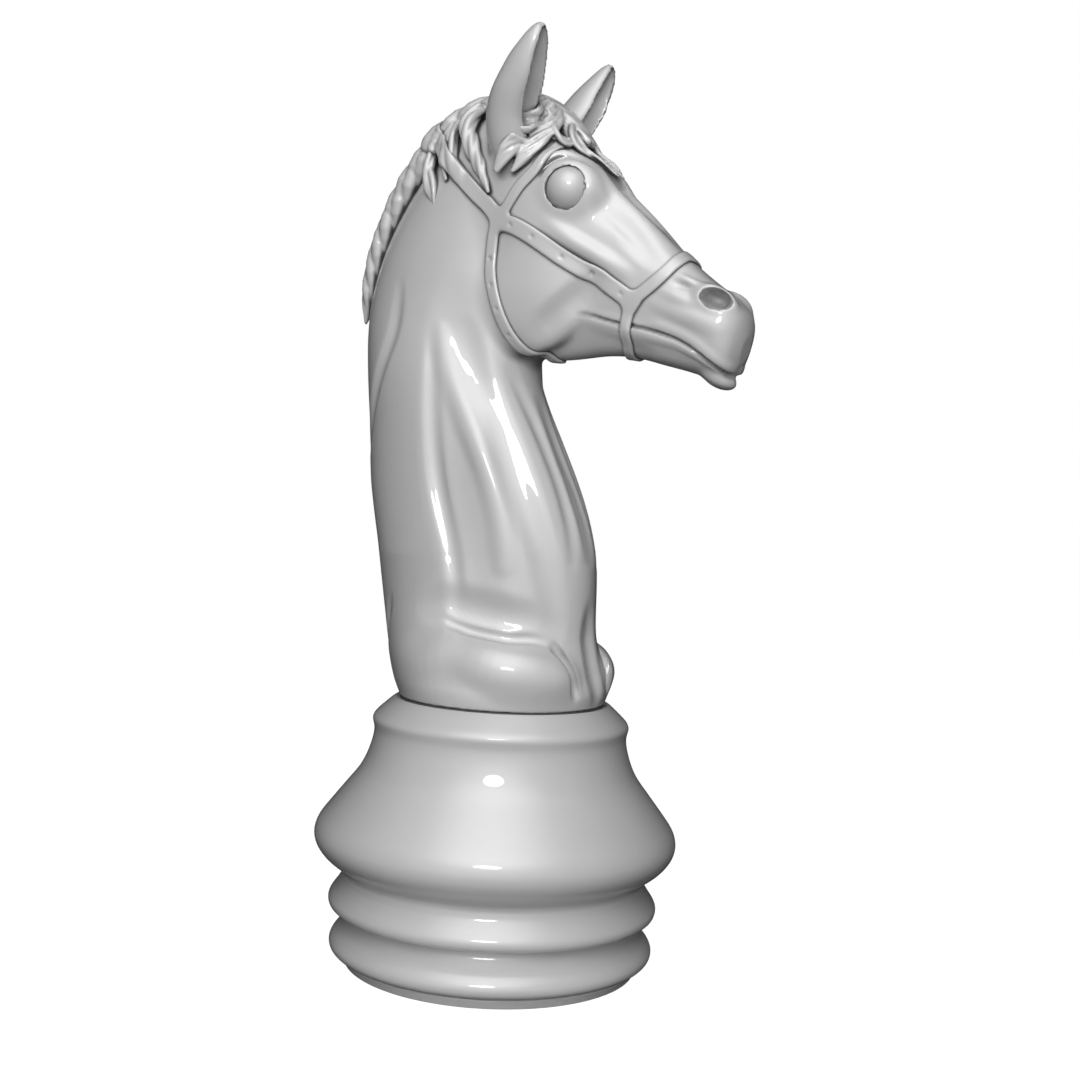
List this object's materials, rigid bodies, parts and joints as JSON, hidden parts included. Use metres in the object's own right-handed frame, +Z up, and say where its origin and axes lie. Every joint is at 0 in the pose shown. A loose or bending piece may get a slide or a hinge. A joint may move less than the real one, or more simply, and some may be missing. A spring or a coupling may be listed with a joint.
{
  "type": "giant chess knight",
  "caption": "Large garden chess knight: a hollow bridled horse-head bust that lifts off and turns on a ring-moulded base filled with sand through a screw cap.",
  "frame": {"origin": "centre of the underside of the middle rubber foot, on the ground and on the base's turning axis", "axes": "+Z up along the base's turning axis, +X the way the horse faces, +Y the horse's left side"},
  "size_m": [0.364, 0.2992, 0.7576],
  "materials": {
    "moulding": "mid-grey polyethylene under a high-gloss clear coat",
    "hair": "same grey, glossy, with carved strands",
    "strap": "same grey, glossy, with small round dimples",
    "eye": "same grey, polished",
    "rubber": "matt black moulded rubber",
    "bearing": "self-lubricating nylon, smooth matt",
    "cap": "fine moulded grain",
    "sand": "loose dry sand",
    "steel": "stainless"
  },
  "bodies": {
    "base": {"base_shell": "moulding", "spigot": "moulding", "foot_plate": "moulding", "foot_gasket": "rubber", "foot_screw_1": "steel", "foot_screw_2": "steel", "foot_screw_3": "steel", "foot_screw_4": "steel", "foot_screw_5": "steel", "foot_screw_6": "steel", "rubber_foot_1": "rubber", "rubber_foot_2": "rubber", "rubber_foot_3": "rubber", "rubber_foot_4": "rubber", "rubber_foot_5": "rubber", "sand_ballast": "sand"},
    "seal": {"cap_seal": "rubber"},
    "cap": {"filler_cap": "cap"},
    "seat": {"seat_ring": "bearing"},
    "bust": {"neck_socket": "cap", "socket_screw_1": "steel", "socket_screw_2": "steel", "socket_screw_3": "steel", "socket_screw_4": "steel", "bust_right_shell": "moulding", "bust_left_shell": "moulding", "eye_right": "eye", "eye_left": "eye", "crown_strap": "strap", "brow_strap": "strap", "nose_strap": "strap", "throat_strap": "strap", "cheek_strap_right": "strap", "cheek_strap_left": "strap", "cheek_stud_right": "strap", "cheek_stud_left": "strap", "mane": "hair", "forelock": "hair"}
  },
  "joints": [
    {"name": "bust_swivel", "type": "hinge", "parent": "base", "child": "seat", "pos_m": [0, 0, 0.22], "axis": [0, 0, 1], "continuous": true},
    {"name": "bust_lift", "type": "slide", "parent": "seat", "child": "bust", "axis": [0, 0, 1], "range_m": [0, 0.1]},
    {"name": "cap_rise", "type": "slide", "parent": "base", "child": "seal", "axis": [0, 0, 1], "range_m": [0, 0.0151]},
    {"name": "cap_turn", "type": "hinge", "parent": "seal", "child": "cap", "pos_m": [0, 0, 0.284], "axis": [0, 0, 1], "range_deg": [0, 900]}
  ],
  "couplings": [
    {"joint": "cap_rise", "follows": "cap_turn", "m_per_rad": 0.00095493}
  ]
}
